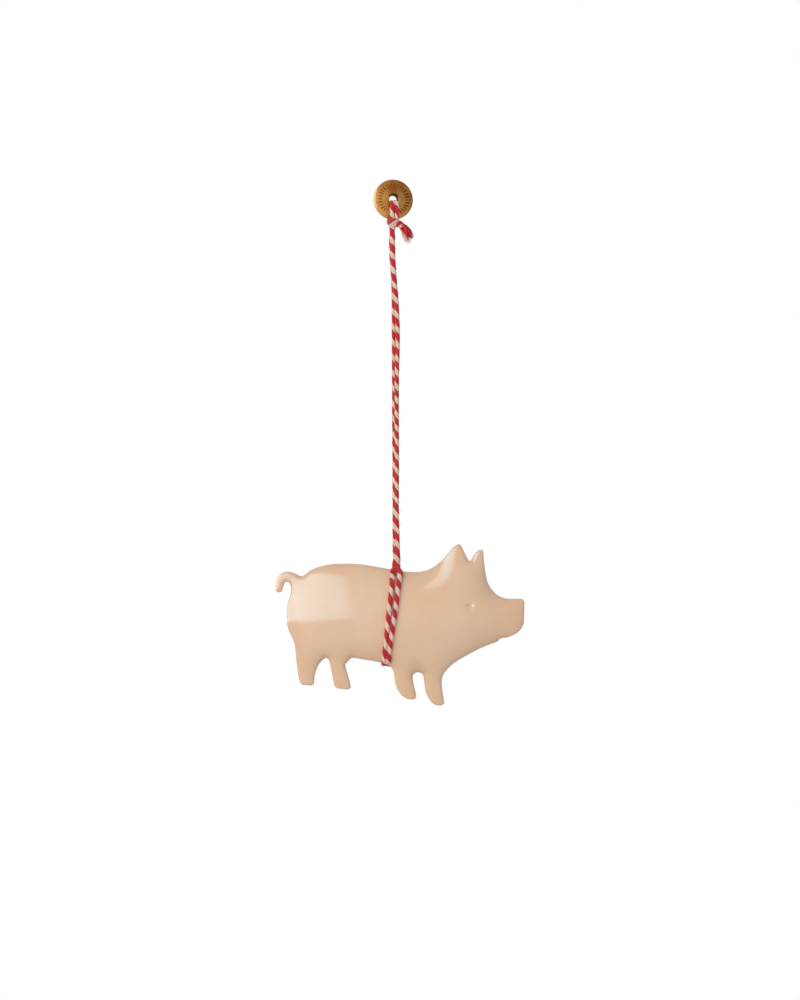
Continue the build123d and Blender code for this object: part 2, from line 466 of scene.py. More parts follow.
def shellPoints(s):
    loop = rimLoop("front_shell", s["seamReach"] * mm)
    if not turnsLeft(loop):
        loop = loop[::-1]
    loop = evenLoop(loop, s["ringStep"], s["relax"])
    inward = inwardOf(loop, s["turnPasses"])
    count = len(loop)
    angles = [math.pi / 2 * ring / s["rimRings"] for ring in range(s["rimRings"] + 1)]
    reaches = [s["rimRound"] * (1 - math.cos(angle)) for angle in angles]
    reaches += [s["rimRound"] + further for further in s["shelf"]]
    heights = [math.sin(angle) for angle in angles] + [1.0] * len(s["shelf"])
    rings = len(reaches) - 1
    flat = np.concatenate([loop + inward * reach for reach in reaches])
    last = flat[-count:]
    fine = gridInside(last, s["fineStep"], s["fineStep"] * s["clearShare"], s["fineBand"])
    grid = np.concatenate([fine, gridInside(last, s["gridStep"], s["fineBand"] + s["fineStep"], math.inf)])
    border = [(step, (step + 1) % count) for step in range(count)]
    places = [Vector(place) for place in np.concatenate([last, grid])]
    made = geometry.delaunay_2d_cdt(places, border, [], 1, s["weld"])
    back = {step: origin[0] + rings * count for step, origin in enumerate(made[3]) if origin}
    inside = [tuple(back[corner] for corner in face) for face in made[2]]
    flat = np.concatenate([flat, grid])
    strip = []
    for ring in range(rings):
        for step in range(count):
            here, onward = ring * count + step, ring * count + (step + 1) % count
            strip.append((here, onward, onward + count, here + count))
    halves = [half for a, b, c, d in strip for half in ((a, b, c), (a, c, d))]
    triangles, rimPoints = np.array(halves + inside), np.arange(count)
    rise = puff(flat, triangles, rimPoints, s["swell"], s)
    shoulder = s["shoulder"] * puff(flat, triangles, rimPoints, s["shoulderReach"], s)
    rim = np.repeat(heights, count)
    rim = np.concatenate([rim, np.ones(len(grid))])
    depth = s["lip"] + (s["rimDepth"] - s["lip"]) * rim + shoulder
    depth += (s["depth"] - s["rimDepth"] - s["shoulder"]) * rise
    depth -= s["eyeDeep"] * spotOn(flat, s["eye"], (0, 0, s["eyeWide"]))
    seam = loop + inward * s["groove"]
    first = len(flat)
    for step in range(count):
        onward = (step + 1) % count
        strip.append((first + step, first + onward, onward, step))
    flat = np.concatenate([flat, seam])
    depth = np.concatenate([depth, np.zeros(count)])
    marks = {
        "edgeShare": np.concatenate([1 - rise, np.ones(count)]),
        "eyeShine": spotOn(flat, s["eye"], s["shine"]),
        "eyeShade": spotOn(flat, s["eye"], s["shade"]),
    }
    print("pig shell", len(flat), "points,", count, "round the rim, deepest", round(depth.max(), 2))
    return flat, depth, marks, strip + inside


def makeShell(name, node, points, side, material, s):
    flat, depth, marks, faces = points
    places = [(x * mm, side * y * mm, z * mm) for (x, z), y in zip(flat, depth)]
    if side > 0:
        faces = [tuple(reversed(face)) for face in faces]
    shell = addMesh(name, places, faces)
    for mark, values in marks.items():
        layer = shell.data.attributes.new(mark, "FLOAT", "POINT")
        layer.data.foreach_set("value", values.astype(np.float32))
    wall = shell.modifiers.new("wall", "SOLIDIFY")
    wall.thickness = s["wall"] * mm
    wall.offset = -1
    applyAll(shell)
    smooth(shell, s["smoothDegrees"])
    shell.data.materials.append(material)
    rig.replaces(shell, node)
    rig.slot(shell, "lacquer")
    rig.ride(shell, "pig")
    return shell


lacquerSet = {
    "peach": (0.695, 0.412, 0.236, 1),
    "deep": (0.585, 0.30, 0.15, 1),
    "pale": (0.725, 0.458, 0.28, 1),
    # olive brown, the painted shade on the left flank of the eye's dimple
    "worn": (0.42, 0.30, 0.13, 1),
    "cloud": (70.0, 3.0),  # scale and detail of a noise, as in the next two
    "smear": (160.0, 4.0),
    "peel": (420.0, 2.0),
    "cloudSpan": (0.35, 0.75),  # over which the peach turns pale
    "rimPower": 3.0,
    "rimShadeShare": 0.25,  # of the deep colour at the rim, partly painted shade where the surface rounds away
    "eyeShadeShare": 0.45,  # of the olive painted shade, on the left flank of the eye's dimple
    "roughness": 0.12,
    "smearShare": 0.07,  # that the roughness varies
    "peelBump": (0.06, 0.02),  # strength and distance
    "pool": (0.65, 0.05),  # coat weight that the eye's pool adds, and everywhere
    "constants": {
        "Specular IOR Level": 1.0,
        "Specular Tint": (0.45, 0.87, 1.0, 1),  # cool reflections
        "Coat Roughness": 0.05,
        "Coat IOR": 1.9,
    },
}


def peachLacquer(s):
    material, tree, shader = newMaterial("peachLacquer")
    place = addNode(tree, "ShaderNodeTexCoord").outputs["Object"]
    edge, shine, shade = [attribute(tree, mark) for mark in ("edgeShare", "eyeShine", "eyeShade")]
    paleness = ramp(tree, noise(tree, place, *s["cloud"]), *s["cloudSpan"])
    colour = mixColour(tree, paleness, s["peach"], s["pale"])
    # darker towards the rim, partly painted shade where the surface rounds away from the light
    rimShade = mathNode(tree, "POWER", edge, s["rimPower"])
    colour = mixColour(tree, mathNode(tree, "MULTIPLY", rimShade, s["rimShadeShare"]), colour, s["deep"])
    # painted shade on the left flank of the eye's dimple
    colour = mixColour(tree, mathNode(tree, "MULTIPLY", shade, s["eyeShadeShare"]), colour, s["worn"])
    plug(tree, colour, shader.inputs["Base Color"])
    smear = noise(tree, place, *s["smear"])
    smoothest = s["roughness"] - s["smearShare"] / 2
    rough = mathNode(tree, "MULTIPLY_ADD", smear, s["smearShare"], smoothest)
    plug(tree, rough, shader.inputs["Roughness"])
    addBump(tree, shader, noise(tree, place, *s["peel"]), *s["peelBump"])
    plug(tree, mathNode(tree, "MULTIPLY_ADD", shine, *s["pool"]), shader.inputs["Coat Weight"])
    setInputs(shader, s["constants"])
    return material


lacquer = peachLacquer(lacquerSet)
shellGrid = shellPoints(pigSet)
frontShell = makeShell("frontShell", "front_shell", shellGrid, -1, lacquer, pigSet)
makeShell("backShell", "back_shell", shellGrid, 1, lacquer, pigSet)
print("shells made")


# Twine: one length, from the knot down, round the belly twice and up to the knot again
twineSet = {
    "radius": 0.83,
    "pulled": 0.15,  # less of it in the hanging strands
    "pulledFrom": (-22, -32),  # heights over which the pull begins, and ends
    "pulledTo": (-110, -104),
    "pressed": 0.05,  # less of it on the pig
    "pressedFrom": (-113, -119),
    "flat": 0.5,  # of its height, pressed away under the belly
    "flatFrom": (-138.2, -139.8),
    "lead": 4.45,  # mm for one full turn of the plies, two red and two cream
    "grooves": ((0.13, 0.24), (0.05, 0.2)),  # depth and width where the colours meet, and within a colour
    "sides": 40,
    "steps": 40,  # points read from each run of the line
    "apart": 0.22,  # mm between rings, at least
    "stand": 0.76,  # of its middle off the lacquer
    "lookFrom": -50,  # where a look at the lacquer starts, in front of it
    "cutHigh": -46.0,  # where a strand's upper and lower pieces meet
    "neck": -106.8,  # where the hitch begins
    "bend": (-9.2, -15.0),  # heights over which the strands bend under the knot
    "twistFrom": -50.0,  # from where they twist, down to the neck
    "barAt": (1.1, -2.5, -111.3),
    "barOut": (0, -1, 0.4),  # where its red ply faces
    "barReach": 1.5,  # along which the red ply stays on top
    "barRate": 0.2,  # of the lay along the bar
    "hangSpan": (-106, -30),  # heights in which the rear strand's lay is eased
    "middleSpan": (-75, -45),  # and the front one's
    "rearSide": 0.72,  # the rear strand is left of this
    "hangRates": (0.96, 1.065),  # of the lay in the rear strand, and in the middle of the front one
    "legsFrom": -111.5,
    "parting": (0.58, -113.8, 0.108),  # line between the legs: across, up and slope
    "farRates": (0.984, 0.99),  # of the lay in the two legs on the far side
    "nearRates": (1.25, 0.84),  # at the top of the left leg on the near side, and below
    "nearTurn": -114.5,
    "thickWaves": ((0.03, 1.9, 0.3), (0.025, 3.3, 1.0)),  # share, pace and shift
    "layWaves": ((0.16, 0.6, 0.0), (0.1, 1.4, 2.0)),
    "taper": (0.6, 3),  # share of a fibre's thickness lost at its tip, and how late
    "fibreSide": (0.3, 0.5, 0.8),  # any way that no fibre runs
    "fuzz": 2.6,  # stray fibres to a millimetre
    "fuzzThick": 0.022,
    "fuzzSides": 3,
    "fuzzOut": (0.1, 0.7),
    "fuzzAside": 0.6,
    "fuzzBend": 0.35,
    "fuzzLong": (0.5, 1.5),
    "fuzzSink": 0.08,  # that its root lies below the surface
    "fuzzSteps": (0, 0.25, 0.5, 0.75, 1),
}

frontTree = BVHTree.FromObject(frontShell, bpy.context.evaluated_depsgraph_get())


def shellDepth(x, z):
    hit = frontTree.ray_cast(Vector((x * mm, twineSet["lookFrom"] * mm, z * mm)), Vector((0, 1, 0)))[0]
    return -hit.y / mm


def onFront(x, z):
    return (x, -shellDepth(x, z) - twineSet["stand"], z)


def onBack(x, z):
    return (x, shellDepth(x, z) + twineSet["stand"], z)


rearStrand = [
    (0.1, 1.0, -6.6),
    (-0.35, 0.95, -9.5),
    (-0.5, 0.9, -13.0),
    (-0.32, 0.95, -18.0),
    (0.2, 1.1, -24.0),
    (0.18, 1.06, -31.0),
    (0.21, 1.23, -42.0),
    (0.27, 1.6, -54.0),
    (0.31, 1.9, -66.0),
    (0.41, 2.21, -80.0),
    (0.47, 2.49, -93.0),
    (0.42, 2.6, -101.0),
    (0.5, 2.75, -106.0),
]
frontStrand = [
    (-0.4, -1.0, -6.4),
    (-0.3, -1.05, -9.0),
    (-0.2, -0.85, -13.0),
    (-0.15, -0.7, -18.0),
    (0.28, -0.5, -24.0),
    (1.08, -0.06, -31.0),
    (1.44, 0.27, -42.0),
    (1.06, 0.44, -54.0),
    (1.08, 0.74, -66.0),
    (1.14, 1.03, -80.0),
    (1.03, 1.21, -93.0),
    (1.27, 1.42, -101.0),
    (1.34, 1.45, -106.0),
]
hitchRoute = [
    (0.75, 2.6, -108.0),  # over the back's edge and down the far side
    (0.45, 2.3, -110.2),
    onBack(0.15, -113.0),
    onBack(-0.25, -117.5),
    onBack(-0.9, -123.5),
    onBack(-1.5, -129.0),
    onBack(-2.05, -134.0),
    onBack(-2.6, -138.0),
    (-2.8, 1.2, -140.1),  # under the belly
    (-2.85, -1.2, -140.1),
    onFront(-2.72, -138.2),  # up the near side
    onFront(-2.1, -132.4),
    onFront(-1.2, -123.5),
    onFront(-0.52, -117.5),
    onFront(-0.25, -114.2),
    (-0.32, -2.85, -112.6),  # the bight bar across both strands
    (-0.15, -2.55, -111.5),
    (0.5, -2.4, -111.1),
    (1.3, -2.45, -111.2),
    (2.0, -2.65, -111.7),
    (2.15, -3.0, -112.8),
    onFront(1.75, -114.4),  # down again
    onFront(1.42, -117.5),
    onFront(0.68, -123.5),
    onFront(-0.72, -132.4),
    onFront(-1.38, -138.2),
    (-1.45, -1.2, -140.2),  # and under the belly again
    (-1.3, 1.2, -140.2),
    onBack(-1.1, -138.0),
    onBack(-0.55, -134.0),
    onBack(0.05, -129.0),
    onBack(0.6, -123.5),
    onBack(1.1, -117.5),
    onBack(1.4, -113.0),
    (1.35, 1.9, -110.2),
    (1.4, 1.5, -108.0),
]


def lineThrough(route, steps, apart):
    # points read from a smooth line whose control points are the route
    curve = bpy.data.curves.new("routeLine", "CURVE")
    curve.dimensions = "3D"
    spline = curve.splines.new("NURBS")
    spline.points.add(len(route) - 1)
    for point, place in zip(spline.points, route):
        point.co = (*[value * mm for value in place], 1)
    spline.order_u = 3
    spline.use_endpoint_u = True
    spline.resolution_u = steps
    holder = bpy.data.objects.new("routeLine", curve)
    scene.collection.objects.link(holder)
    bpy.context.view_layer.update()
    mesh = bpy.data.meshes.new_from_object(holder)
    read = [vert.co.copy() for vert in mesh.vertices]
    bpy.data.objects.remove(holder)
    bpy.data.meshes.remove(mesh)
    kept = [read[0]]
    for point in read[1:]:
        if (point - kept[-1]).length > apart * mm:
            kept.append(point)
    return kept


def ease(value, low, high):
    return min(max((value - low) / (high - low), 0), 1)


def layRate(point):
    # the lay all but stops along the bar, and varies a little from stretch to stretch
    s = twineSet
    x, y, z = point / mm
    if (point / mm - Vector(s["barAt"])).length < s["barReach"]:
        return s["barRate"]
    if s["hangSpan"][0] < z < s["hangSpan"][1] and x < s["rearSide"]:
        return s["hangRates"][0]
    if s["middleSpan"][0] < z < s["middleSpan"][1]:
        return s["hangRates"][1]
    if z >= s["legsFrom"]:
        return 1.0
    across, up, slope = s["parting"]
    onLeft = x < across + (z - up) * slope
    if y > 0:
        return s["farRates"][0 if onLeft else 1]
    if onLeft:
        return s["nearRates"][0 if z > s["nearTurn"] else 1]
    return 1.0


def carried(points, across):
    # each point with its direction, a side that doesn't twist, its distance along and its lay
    rows = []
    side = Vector(across)
    gone = laid = 0.0
    for step, point in enumerate(points):
        ahead = points[min(step + 1, len(points) - 1)]
        behind = points[max(step - 1, 0)]
        along = (ahead - behind).normalized()
        side = (side - along * side.dot(along)).normalized()
        if step:
            run = (point - behind).length
            gone += run
            laid += run * layRate(point)
        rows.append((point, along, side.copy(), gone, laid))
    return rows


def wander(gone, waves):
    return sum(size * math.sin(pace * gone / mm + shift) for size, pace, shift in waves)


def layTurn(row, lead):
    return wander(row[3], twineSet["layWaves"]) - 2 * math.pi * row[4] / mm / lead


def redTowards(rows, place, outward, lead):
    # start of the lay that puts a red ply outward at the row nearest the place
    row = min(rows, key=lambda row: (row[0] / mm - Vector(place)).length)
    other = row[1].cross(row[2])
    outward = Vector(outward)
    return math.atan2(outward.dot(other), outward.dot(row[2])) - layTurn(row, lead)


def plyRadius(angle):
    # outline of the plies, as a share of the twine's radius
    size = 1.0
    for (depth, width), first in zip(twineSet["grooves"], (math.pi / 2, 0)):
        away = (angle - first + math.pi / 2) % math.pi - math.pi / 2
        size -= depth * math.exp(-((away / width) ** 2))
    return size


def surfacePoint(row, angle, radius, turn):
    s = twineSet
    point, along, side, gone = row[:4]
    size = radius(point) * mm * (1 + wander(gone, s["thickWaves"]))
    out = side * math.cos(angle + turn) + along.cross(side) * math.sin(angle + turn)
    reach = out * size * plyRadius(angle)
    reach.z *= 1 - s["flat"] * ease(point.z / mm, *s["flatFrom"])
    return point + reach, out


def ringFaces(first, sides):
    # the faces from one ring of points to the next
    for corner in range(sides):
        onward = (corner + 1) % sides
        yield first + corner, first + onward, first + sides + onward, first + sides + corner


def laidTube(parts, rows, radius, startTurn, lead):
    # four plies that turn left-handed round the line
    sides = twineSet["sides"]
    first = len(parts["points"])
    for row in rows:
        turn = startTurn + layTurn(row, lead)
        for corner in range(sides):
            parts["points"].append(surfacePoint(row, 2 * math.pi * corner / sides, radius, turn)[0])
    for ring in range(len(rows) - 1):
        low, high = rows[ring][3] / mm, rows[ring + 1][3] / mm
        for corner, face in enumerate(ringFaces(first + ring * sides, sides)):
            left, right = corner / sides, (corner + 1) / sides
            parts["faces"].append(face)
            parts["marks"].append(((left, low), (right, low), (right, high), (left, high)))
    for ring in (0, len(rows) - 1):
        middle = len(parts["points"])
        parts["points"].append(rows[ring][0])
        for corner in range(sides):
            one = first + ring * sides + corner
            other = first + ring * sides + (corner + 1) % sides
            parts["faces"].append((middle, other, one) if ring == 0 else (middle, one, other))
            parts["marks"].append([(corner / sides, rows[ring][3] / mm)] * 3)


def fibre(parts, path, thick, sides, mark):
    # a thin round fibre that tapers to its tip, in one colour
    lost, late = twineSet["taper"]
    first = len(parts["points"])
    last = len(path) - 1
    side = Vector(twineSet["fibreSide"])
    for step, point in enumerate(path):
        along = (path[min(step + 1, last)] - path[max(step - 1, 0)]).normalized()
        side = (side - along * side.dot(along)).normalized()
        other = along.cross(side)
        size = thick * mm * (1 - lost * (step / last) ** late)
        for corner in range(sides):
            angle = 2 * math.pi * corner / sides
            parts["points"].append(point + size * (side * math.cos(angle) + other * math.sin(angle)))
    for ring in range(last):
        for face in ringFaces(first + ring * sides, sides):
            parts["faces"].append(face)
            parts["marks"].append([mark] * 4)
    tip = first + last * sides
    parts["faces"].append(tuple(first + corner for corner in reversed(range(sides))))
    parts["faces"].append(tuple(tip + corner for corner in range(sides)))
    parts["marks"] += [[mark] * sides] * 2


def strayFibres(parts, rows, radius, startTurn, lead, seed):
    s = twineSet
    draw = random.Random(seed)
    for _ in range(int(s["fuzz"] * (rows[-1][3] - rows[0][3]) / mm)):
        row = draw.choice(rows)
        angle = draw.uniform(0, 2 * math.pi)
        root, out = surfacePoint(row, angle, radius, startTurn + layTurn(row, lead))
        lean = row[1] * draw.uniform(-1, 1) + out * draw.uniform(*s["fuzzOut"])
        lean += out.cross(row[1]) * draw.uniform(-s["fuzzAside"], s["fuzzAside"])
        bend = Vector([draw.uniform(-1, 1) for _ in range(3)]) * s["fuzzBend"]
        long = draw.uniform(*s["fuzzLong"]) * mm
        root -= out * s["fuzzSink"] * mm
        path = [root + long * (lean * t + bend * t * t) for t in s["fuzzSteps"]]
        fibre(parts, path, s["fuzzThick"], s["fuzzSides"], (angle / 2 / math.pi, row[3] / mm))


def newParts():
    return {"points": [], "faces": [], "marks": []}


def twinePiece(name, parts, material):
    piece = addMesh(name, parts["points"], parts["faces"])
    layer = piece.data.uv_layers.new(name="plies")
    for face, corners in zip(piece.data.polygons, parts["marks"]):
        for loop, place in zip(face.loop_indices, corners):
            layer.data[loop].uv = place
    piece.data.polygons.foreach_set("use_smooth", [True] * len(piece.data.polygons))
    piece.data.materials.append(material)
    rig.slot(piece, "twine")
    return piece


def makeTwine(name, rows, radius, startTurn, seed):
    parts = newParts()
    laidTube(parts, rows, radius, startTurn, twineSet["lead"])
    strayFibres(parts, rows, radius, startTurn, twineSet["lead"], seed)
    return twinePiece(name, parts, cotton)


cottonSet = {
    "red": (0.53, 0.017, 0.021, 1),
    "redDark": (0.22, 0.004, 0.008, 1),
    "cream": (0.74, 0.53, 0.405, 1),
    "creamDark": (0.48, 0.33, 0.245, 1),
    "redShare": 0.57,  # of the surface
    "plies": 4.0,
    "slant": 0.45,  # of the fibres within each ply
    "drawn": 0.22,  # how slowly the grain changes along them
    "grain": (11.0, 3.0),  # scale and detail of a noise
    "blotch": (1.4, 2.0),
    "ragged": 0.07,  # how far the grain frays a colour's edge
    "soft": 0.012,  # half the width of that edge
    "colourGroove": 7.0,  # how narrow the shade is where the colours meet
    "plyGroove": 9.0,  # and between two plies of one colour
    "plyShare": 0.5,  # how deep that one is beside the other
    "wornSpan": (0.68, 0.3),
    "wornLess": 0.3,
    "grooveShade": 0.45,
    "blotchShade": 0.5,
    "grooveDeep": 0.4,
    "bump": (0.7, 0.08),  # strength and distance
    "constants": {
        "Roughness": 0.9,
        "Sheen Weight": 0.2,
        "Sheen Roughness": 0.5,
        "Specular IOR Level": 0.25,
    },
}


def cottonTwine(s):
    material, tree, shader = newMaterial("cottonTwine")
    place = addNode(tree, "ShaderNodeUVMap", {"uv_map": "plies"}).outputs[0]
    split = addNode(tree, "ShaderNodeSeparateXYZ", Vector=place)
    around, along = split.outputs[0], split.outputs[1]
    # 0 in the middle of the red, and then 0 where the colours meet
    shifted = mathNode(tree, "FRACT", mathNode(tree, "ADD", around, 0.5))
    fromRed = mathNode(tree, "ABSOLUTE", mathNode(tree, "SUBTRACT", shifted, 0.5))
    toEdge = mathNode(tree, "ABSOLUTE", mathNode(tree, "MULTIPLY_ADD", fromRed, s["plies"], -1.0))
    # fibres run slantwise within each ply
    slant = mathNode(tree, "MULTIPLY_ADD", along, s["slant"], mathNode(tree, "MULTIPLY", around, s["plies"]))
    drawn = mathNode(tree, "MULTIPLY", along, s["drawn"])
    strands = addNode(tree, "ShaderNodeCombineXYZ", X=slant, Y=drawn).outputs[0]
    grain, blotch = noise(tree, strands, *s["grain"]), noise(tree, place, *s["blotch"])
    ragged = mathNode(tree, "MULTIPLY_ADD", mathNode(tree, "SUBTRACT", grain, 0.5), s["ragged"], fromRed)
    edge = s["redShare"] / 2
    isRed = ramp(tree, ragged, edge + s["soft"], edge - s["soft"])
    seam = mathNode(tree, "POWER", mathNode(tree, "SUBTRACT", 1.0, toEdge), s["colourGroove"])
    plySeam = mathNode(tree, "POWER", toEdge, s["plyGroove"])
    groove = mathNode(tree, "MULTIPLY_ADD", plySeam, s["plyShare"], seam)
    worn = mathNode(tree, "SUBTRACT", ramp(tree, grain, *s["wornSpan"]), s["wornLess"])
    shade = mathNode(tree, "MULTIPLY_ADD", groove, s["grooveShade"], worn)
    uneven = mathNode(tree, "MULTIPLY_ADD", blotch, s["blotchShade"], -s["blotchShade"] / 2)
    shade = mathNode(tree, "ADD", shade, uneven, clamp=True)
    red = mixColour(tree, shade, s["red"], s["redDark"])
    cream = mixColour(tree, shade, s["cream"], s["creamDark"])
    plug(tree, mixColour(tree, isRed, cream, red), shader.inputs["Base Color"])
    height = mathNode(tree, "SUBTRACT", grain, mathNode(tree, "MULTIPLY", groove, s["grooveDeep"]))
    addBump(tree, shader, height, *s["bump"])
    setInputs(shader, s["constants"])
    return material


def tension(point):
    # thinner where it is pulled straight, and a little on the pig
    s = twineSet
    height = point.z / mm
    pulled = ease(height, *s["pulledFrom"]) * ease(height, *s["pulledTo"])
    return s["radius"] - s["pulled"] * pulled - s["pressed"] * ease(height, *s["pressedFrom"])


cotton = cottonTwine(cottonSet)
wholeRoute = rearStrand + hitchRoute + frontStrand[::-1]
wholeLine = carried(lineThrough(wholeRoute, twineSet["steps"], twineSet["apart"]), (1, 0, 0))


def cutAt(height, steps):
    return min(steps, key=lambda step: abs(wholeLine[step][0].z / mm - height))


half = len(wholeLine) // 2
down, upward = range(half), range(half, len(wholeLine))
cuts = [0, cutAt(twineSet["cutHigh"], down), cutAt(twineSet["neck"], down)]
cuts += [cutAt(twineSet["neck"], upward), cutAt(twineSet["cutHigh"], upward), len(wholeLine) - 1]
names = ["rearStrandTop", "rearStrandLow", "bellyHitch", "frontStrandLow", "frontStrandTop"]
wholeTurn = redTowards(wholeLine, twineSet["barAt"], twineSet["barOut"], twineSet["lead"])
twine, lines = {}, {}
for seed, (name, first, last) in enumerate(zip(names, cuts, cuts[1:])):
    rows = wholeLine[first:last + 1]
    twine[name] = makeTwine(name, rows, tension, wholeTurn, seed)
    lines[name] = [row[0] for row in rows]
    print(name, "length", round(rows[-1][3] - rows[0][3], 4), "faces", len(twine[name].data.polygons))

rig.replaces(twine["rearStrandLow"], "hanger_strand_left")
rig.replaces(twine["frontStrandLow"], "hanger_strand_right")
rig.replaces(twine["bellyHitch"], "belly_hitch")
bendFrom, bendTo, twistFrom, twistTo = (
    (0, 0, height * mm) for height in (*twineSet["bend"], twineSet["twistFrom"], twineSet["neck"])
)
for name in ("rearStrandTop", "frontStrandTop"):
    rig.blend(twine[name], "eye", "hanger", start=bendFrom, end=bendTo)
for name in ("rearStrandLow", "frontStrandLow"):
    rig.blend(twine[name], "hanger", "pig", start=twistFrom, end=twistTo)
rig.ride(twine["bellyHitch"], "pig")


# Brass disc
discSet = {
    "radius": 6.0,
    "thick": 1.6,
    "hole": 1.4,
    "holeBack": 1.16,  # the punched hole narrows to the far face
    "rimEdge": 0.28,
    "holeEdge": 0.36,
    "holeBackEdge": 0.15,
    "edgeSteps": 4,
    "turns": 128,
    "weld": 0.004,
    "smoothDegrees": 35,
    "ticks": 30,
    "tickAt": 4.25,
    "tickLong": 1.25,
    "tickDeep": 0.2,
    "tickVary": (0.75, 1.15),  # shares of that depth
    "tickStray": 0.08,  # of the step between them
    "tickSeed": 4,
    "tickDark": 0.2,
    "brass": (0.385, 0.175, 0.041, 1),
    "brassPaintedLight": (0.66, 0.325, 0.097, 1),
    "brassDark": (0.135, 0.045, 0.009, 1),
    "brassRed": (0.215, 0.064, 0.014, 1),
    "paintedBoreShade": (0.045, 0.020, 0.009, 1),
    "cloud": (260.0, 4.0),  # scale and detail of a noise
    "scratch": (1500.0, 3.0),
    "slope": (0.75, 0.6),  # across and up, from the lower left with painted light to the upper right with painted shade
    "slopeRagged": 0.016,
    "paintedLightLowLeft": (-0.0005, -0.006, 0.75),  # where it begins and is full, in metres, and its share
    "paintedShadeHighRight": (0.0, 0.0065, 0.7),
    "stain": (0.0022, 0.0008, 0.8),
    "stainAt": (0.1, 3.4),  # across and up
    "stainRagged": 0.004,
    "boreEdge": (0.2, 0.05),  # further out than the hole: where the painted shade in the bore begins and is full
    "edgeUp": (0.0006, 0.0013),  # the hole's upper edge, painted in shade, by height and by reach
    "edgeReach": (0.0020, 0.0017),
    "roughness": (0.3, 0.25),  # what the scratches add, and everywhere
    "bump": (0.3, 0.02),  # strength and distance
}
mountAxis = frame["record"]["mounts"][0]["axis"]
discYaw = math.atan2(-mountAxis[0], mountAxis[1])


def oldBrass(s, name, darkness):
    material, tree, shader = newMaterial(name)

    def amount(value, begins, full, share):
        return mathNode(tree, "MULTIPLY", ramp(tree, value, begins, full), share)

    place = addNode(tree, "ShaderNodeTexCoord").outputs["Object"]
    split = addNode(tree, "ShaderNodeSeparateXYZ", Vector=place)
    across, up = split.outputs[0], split.outputs[2]
    reach = attribute(tree, "reach")
    uneven = mathNode(tree, "SUBTRACT", noise(tree, place, *s["cloud"]), 0.5)
    # painted light at the lower left, painted shade at the upper right
    sideways, upward = [mathNode(tree, "MULTIPLY", *pair) for pair in zip((across, up), s["slope"])]
    slope = mathNode(tree, "ADD", sideways, upward)
    slope = mathNode(tree, "MULTIPLY_ADD", uneven, s["slopeRagged"], slope)
    colour = mixColour(tree, amount(slope, *s["paintedLightLowLeft"]), s["brass"], s["brassPaintedLight"])
    colour = mixColour(tree, amount(slope, *s["paintedShadeHighRight"]), colour, s["brassDark"])
    # a reddish stain above the hole
    spot = addNode(tree, "ShaderNodeVectorMath", {"operation": "DISTANCE"})
    plug(tree, place, spot.inputs[0])
    spot.inputs[1].default_value = (s["stainAt"][0] * mm, -s["thick"] / 2 * mm, s["stainAt"][1] * mm)
    ragged = mathNode(tree, "MULTIPLY_ADD", uneven, s["stainRagged"], spot.outputs["Value"])
    colour = mixColour(tree, amount(ragged, *s["stain"]), colour, s["brassRed"])
    colour = mixColour(tree, darkness, colour, s["brassDark"])
    # painted shade inside the bore and along the hole's upper edge
    inBore = ramp(tree, reach, *[(s["hole"] + further) * mm for further in s["boreEdge"]])
    upperEdgeShade = mathNode(tree, "MULTIPLY", ramp(tree, up, *s["edgeUp"]), ramp(tree, reach, *s["edgeReach"]))
    colour = mixColour(tree, mathNode(tree, "MAXIMUM", inBore, upperEdgeShade), colour, s["paintedBoreShade"])
    plug(tree, colour, shader.inputs["Base Color"])
    scratch = noise(tree, place, *s["scratch"])
    plug(tree, mathNode(tree, "MULTIPLY_ADD", scratch, *s["roughness"]), shader.inputs["Roughness"])
    addBump(tree, shader, scratch, *s["bump"])
    shader.inputs["Metallic"].default_value = 1.0
    return material


def makeDisc(s):
    # profile spun round the Y axis
    halfThick = s["thick"] / 2
    corners = [
        (s["hole"], -1, 1, s["holeEdge"]),
        (s["radius"], -1, -1, s["rimEdge"]),
        (s["radius"], 1, -1, s["rimEdge"]),
        (s["holeBack"], 1, 1, s["holeBackEdge"]),
    ]
    profile = []
    for reach, face, inward, edge in corners:
        middle = (reach + inward * edge, face * (halfThick - edge))
        sweep = []
        for step in range(s["edgeSteps"] + 1):
            angle = math.pi / 2 * step / s["edgeSteps"]
            out, off = edge * math.cos(angle), edge * math.sin(angle)
            sweep.append((middle[0] - inward * out, middle[1] + face * off))
        profile += sweep if inward * face < 0 else sweep[::-1]
    count = len(profile)
    edges = [(step, (step + 1) % count) for step in range(count)]
    disc = addMesh("brassDisc", [(reach * mm, depth * mm, 0) for reach, depth in profile], [], edges)
    pick(disc)
    bpy.ops.object.mode_set(mode="EDIT")
    bpy.ops.mesh.select_all(action="SELECT")
    bpy.ops.mesh.spin(steps=s["turns"], angle=2 * math.pi, center=(0, 0, 0), axis=(0, 1, 0))
    bpy.ops.mesh.select_all(action="SELECT")
    bpy.ops.mesh.remove_doubles(threshold=s["weld"] * mm)
    bpy.ops.mesh.normals_make_consistent(inside=False)
    bpy.ops.object.mode_set(mode="OBJECT")
    return disc


